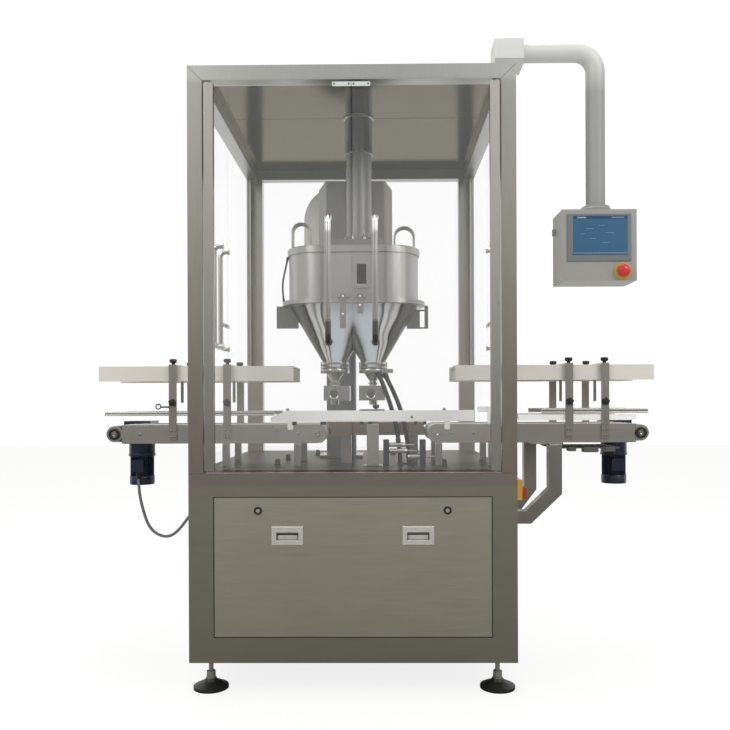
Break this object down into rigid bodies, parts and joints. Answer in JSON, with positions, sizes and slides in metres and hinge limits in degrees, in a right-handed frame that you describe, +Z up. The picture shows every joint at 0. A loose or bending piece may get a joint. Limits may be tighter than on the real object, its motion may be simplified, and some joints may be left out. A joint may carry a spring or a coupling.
{
  "type": "auger powder filler",
  "caption": "Auger powder filler: paired augers below a hopper with conical outlets, in a glazed steel enclosure over a belt line, with a swing-arm operator panel.",
  "frame": {"origin": "middle of the machine's footprint on the floor", "axes": "+X along the line from infeed to outfeed, +Y from the front doors to the back, +Z up"},
  "size_m": [2.066, 1.246, 2.202],
  "materials": {
    "frame_steel": "satin brushed",
    "panel_steel": "satin brushed",
    "bright_steel": "polished",
    "roof_steel": "bright sheet",
    "hopper_steel": "fine brushed",
    "cover_steel": "satin",
    "pipe_steel": "brushed",
    "clear_acrylic": "clear",
    "door_steel": "satin",
    "cover_beige": "translucent",
    "belt_white": "woven belt",
    "guide_white": "smooth",
    "knob_black": "moulded",
    "motor_navy": "gloss",
    "arm_grey": "powder coat",
    "case_grey": "powder coat",
    "screen": "display with grey bezel",
    "red_plastic": "smooth",
    "isolator_orange": "smooth",
    "foot_black": "moulded foot",
    "hose_black": "smooth",
    "lead_grey": "sheathed",
    "lock_chrome": "plated",
    "window_pane": "clear"
  },
  "bodies": {
    "machine": {"cabinet_frame": "frame_steel", "cabinet_panels": "panel_steel", "levelling_feet": "foot_black", "enclosure_frame": "frame_steel", "roof_sheet": "roof_steel", "fixed_screens": "clear_acrylic", "column": "door_steel", "isolator_box": "isolator_orange", "motor_lead": "lead_grey", "conveyor_frames": "cover_steel", "belts": "belt_white", "gear_motors": "motor_navy", "tunnel_covers": "cover_beige", "guide_gantries": "door_steel", "conveyor_supports": "frame_steel", "filling_bed": "cover_steel", "guide_strips": "guide_white", "star_knobs": "knob_black"},
    "filling_head": {"hopper": "hopper_steel", "hopper_lid": "hopper_steel", "window_glass": "window_pane", "drive_cover": "cover_steel", "feed_pipe": "pipe_steel", "carriage": "cover_steel", "dosing_spouts": "bright_steel", "hose_left": "hose_black", "hose_right": "hose_black", "hopper_cable": "hose_black"},
    "front_door_left": {"front_door_left": "clear_acrylic", "front_door_left_fittings": "door_steel"},
    "front_door_right": {"front_door_right": "clear_acrylic", "front_door_right_fittings": "door_steel"},
    "side_door_left_front": {"side_door_left_front": "clear_acrylic", "side_door_left_front_fittings": "door_steel"},
    "side_door_left_rear": {"side_door_left_rear": "clear_acrylic", "side_door_left_rear_fittings": "door_steel"},
    "side_door_right_front": {"side_door_right_front": "clear_acrylic", "side_door_right_front_fittings": "door_steel"},
    "side_door_right_rear": {"side_door_right_rear": "clear_acrylic", "side_door_right_rear_fittings": "door_steel"},
    "infeed_end_roller": {"infeed_end_roller": "bright_steel"},
    "infeed_inner_roller": {"infeed_inner_roller": "bright_steel"},
    "outfeed_end_roller": {"outfeed_end_roller": "bright_steel"},
    "outfeed_inner_roller": {"outfeed_inner_roller": "bright_steel"},
    "hmi_arm": {"hmi_arm": "arm_grey"},
    "estop_button": {"estop_button": "red_plastic"},
    "isolator_knob": {"isolator_knob": "red_plastic"},
    "front_panel": {"front_panel": "panel_steel"},
    "panel_lock_left": {"panel_lock_left": "lock_chrome"},
    "panel_lock_right": {"panel_lock_right": "lock_chrome"},
    "lid_flap_left": {"lid_flap_left": "hopper_steel"},
    "lid_flap_right": {"lid_flap_right": "hopper_steel"},
    "latch_left": {"latch_left": "bright_steel"},
    "latch_right": {"latch_right": "bright_steel"},
    "auger_left": {"auger_left": "bright_steel"},
    "auger_right": {"auger_right": "bright_steel"},
    "agitator_left": {"agitator_left": "bright_steel"},
    "agitator_right": {"agitator_right": "bright_steel"},
    "hmi_case": {"hmi_case": "case_grey", "touch_panel": "screen"}
  },
  "joints": [
    {"name": "head_lift", "type": "slide", "parent": "machine", "child": "filling_head", "axis": [0, 0, 1], "range_m": [0, 0.1]},
    {"name": "front_door_left_hinge", "type": "hinge", "parent": "machine", "child": "front_door_left", "pos_m": [-0.555, -0.568, 1.4], "axis": [0, 0, 1], "range_deg": [-105, 0]},
    {"name": "front_door_right_hinge", "type": "hinge", "parent": "machine", "child": "front_door_right", "pos_m": [0.404, -0.568, 1.4], "axis": [0, 0, 1], "range_deg": [0, 105]},
    {"name": "side_door_left_front_hinge", "type": "hinge", "parent": "machine", "child": "side_door_left_front", "pos_m": [-0.6105, -0.51, 1.6], "axis": [0, 0, 1], "range_deg": [0, 105]},
    {"name": "side_door_left_rear_hinge", "type": "hinge", "parent": "machine", "child": "side_door_left_rear", "pos_m": [-0.6105, 0.55, 1.6], "axis": [0, 0, 1], "range_deg": [-105, 0]},
    {"name": "side_door_right_front_hinge", "type": "hinge", "parent": "machine", "child": "side_door_right_front", "pos_m": [0.4595, -0.51, 1.6], "axis": [0, 0, 1], "range_deg": [-55, 0]},
    {"name": "side_door_right_rear_hinge", "type": "hinge", "parent": "machine", "child": "side_door_right_rear", "pos_m": [0.4595, 0.55, 1.6], "axis": [0, 0, 1], "range_deg": [0, 105]},
    {"name": "infeed_end_spin", "type": "hinge", "parent": "machine", "child": "infeed_end_roller", "pos_m": [-0.9705, -0.168, 0.866], "axis": [0, 1, 0], "continuous": true},
    {"name": "infeed_inner_spin", "type": "hinge", "parent": "machine", "child": "infeed_inner_roller", "pos_m": [-0.2135, -0.168, 0.866], "axis": [0, 1, 0], "continuous": true},
    {"name": "outfeed_end_spin", "type": "hinge", "parent": "machine", "child": "outfeed_end_roller", "pos_m": [0.9795, -0.168, 0.866], "axis": [0, 1, 0], "continuous": true},
    {"name": "outfeed_inner_spin", "type": "hinge", "parent": "machine", "child": "outfeed_inner_roller", "pos_m": [0.2275, -0.168, 0.866], "axis": [0, 1, 0], "continuous": true},
    {"name": "arm_swing", "type": "hinge", "parent": "machine", "child": "hmi_arm", "pos_m": [0.4525, -0.533, 2.15], "axis": [0, 0, 1], "range_deg": [-95, 0]},
    {"name": "case_turn", "type": "hinge", "parent": "hmi_arm", "child": "hmi_case", "pos_m": [0.7495, -0.533, 1.616], "axis": [0, 0, 1], "range_deg": [-90, 90]},
    {"name": "estop_press", "type": "slide", "parent": "hmi_case", "child": "estop_button", "axis": [0, 1, 0], "range_m": [0, 0.006], "stiffness_N_per_m": 800},
    {"name": "isolator_turn", "type": "hinge", "parent": "machine", "child": "isolator_knob", "pos_m": [0.5245, -0.408, 0.657], "axis": [1, 0, 0], "range_deg": [0, 90]},
    {"name": "panel_tilt", "type": "hinge", "parent": "machine", "child": "front_panel", "pos_m": [-0.0755, -0.578, 0.197], "axis": [1, 0, 0], "range_deg": [0, 25]},
    {"name": "lock_left_turn", "type": "hinge", "parent": "front_panel", "child": "panel_lock_left", "pos_m": [-0.3925, -0.57, 0.62], "axis": [0, 1, 0], "range_deg": [-90, 0]},
    {"name": "lock_right_turn", "type": "hinge", "parent": "front_panel", "child": "panel_lock_right", "pos_m": [0.2415, -0.57, 0.62], "axis": [0, -1, 0], "range_deg": [-90, 0]},
    {"name": "flap_left_hinge", "type": "hinge", "parent": "filling_head", "child": "lid_flap_left", "pos_m": [-0.2015, -0.168, 1.5725], "axis": [0, 1, 0], "range_deg": [0, 60]},
    {"name": "flap_right_hinge", "type": "hinge", "parent": "filling_head", "child": "lid_flap_right", "pos_m": [0.0345, -0.168, 1.5725], "axis": [0, -1, 0], "range_deg": [0, 60]},
    {"name": "latch_left_hinge", "type": "hinge", "parent": "filling_head", "child": "latch_left", "pos_m": [-0.1175, -0.329, 1.375], "axis": [1, 0, 0], "range_deg": [-80, 0]},
    {"name": "latch_right_hinge", "type": "hinge", "parent": "filling_head", "child": "latch_right", "pos_m": [-0.054, -0.329, 1.375], "axis": [1, 0, 0], "range_deg": [-80, 0]},
    {"name": "auger_left_spin", "type": "hinge", "parent": "filling_head", "child": "auger_left", "pos_m": [-0.1575, -0.168, 1.1], "axis": [0, 0, 1], "continuous": true},
    {"name": "agitator_left_spin", "type": "hinge", "parent": "filling_head", "child": "agitator_left", "pos_m": [-0.1575, -0.168, 1.4], "axis": [0, 0, 1], "continuous": true},
    {"name": "auger_right_spin", "type": "hinge", "parent": "filling_head", "child": "auger_right", "pos_m": [-0.0095, -0.168, 1.1], "axis": [0, 0, 1], "continuous": true},
    {"name": "agitator_right_spin", "type": "hinge", "parent": "filling_head", "child": "agitator_right", "pos_m": [-0.0095, -0.168, 1.4], "axis": [0, 0, 1], "continuous": true}
  ],
  "couplings": [
    {"joint": "infeed_inner_spin", "follows": "infeed_end_spin", "ratio": 1},
    {"joint": "outfeed_inner_spin", "follows": "outfeed_end_spin", "ratio": 1}
  ]
}
